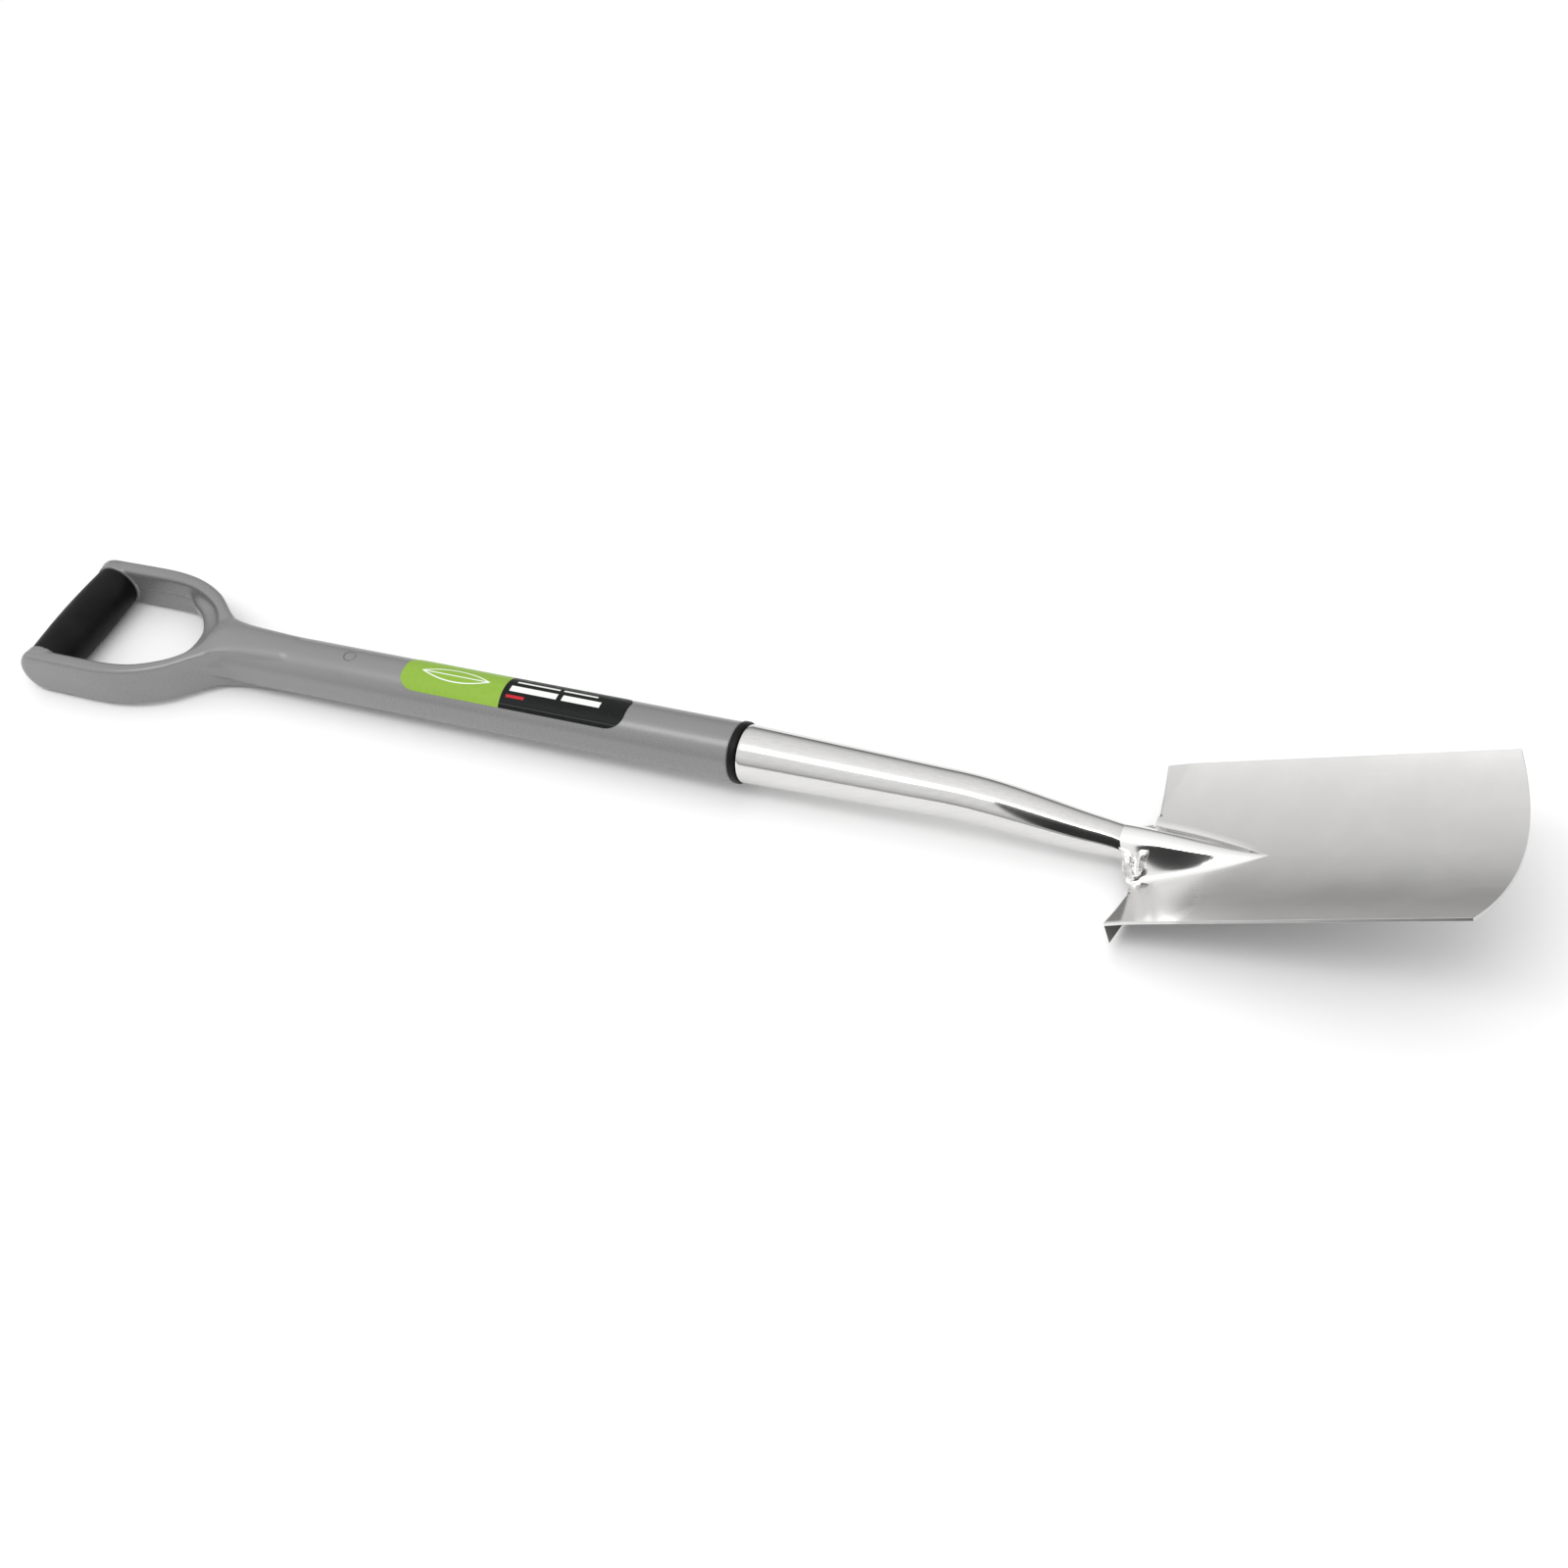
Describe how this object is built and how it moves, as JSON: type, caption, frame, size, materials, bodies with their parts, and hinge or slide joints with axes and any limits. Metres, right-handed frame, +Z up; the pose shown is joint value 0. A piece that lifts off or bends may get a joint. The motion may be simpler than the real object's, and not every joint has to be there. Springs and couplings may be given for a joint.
{
  "type": "garden spade",
  "caption": "Long-handled digging spade with a dished stainless steel blade, folded foot treads, a tapered steel socket and a moulded D-handle.",
  "frame": {"origin": "middle of the footprint, on the surface that the spade lies on", "axes": "+X from the handle to the blade's tip, +Y to the left of someone who stands at the handle and looks at the tip, +Z up; the blade's hollow face looks up"},
  "size_m": [1.0606, 0.1402, 0.0969],
  "materials": {
    "satin_steel": "fine satin, brushed along the blade",
    "polished_steel": "mirror polished stainless steel",
    "weld_steel": "ground and polished weld",
    "screw_steel": "plain domed screw",
    "black_rubber": "smooth black rubber",
    "grey_plastic": "moulded grey polypropylene, satin",
    "grip_rubber": "soft-touch overmoulding, matte",
    "plug_plastic": "small moulded plug",
    "label_film": "printed adhesive film, green and black"
  },
  "bodies": {
    "root": {"blade": "satin_steel", "socket": "polished_steel", "weld_bead_left": "weld_steel", "weld_bead_right": "weld_steel", "weld_bead_back": "weld_steel", "socket_screw": "screw_steel", "socket_ring": "black_rubber", "shaft_handle": "grey_plastic", "soft_grip": "grip_rubber", "vent_plug": "plug_plastic", "label": "label_film"}
  },
  "joints": []
}
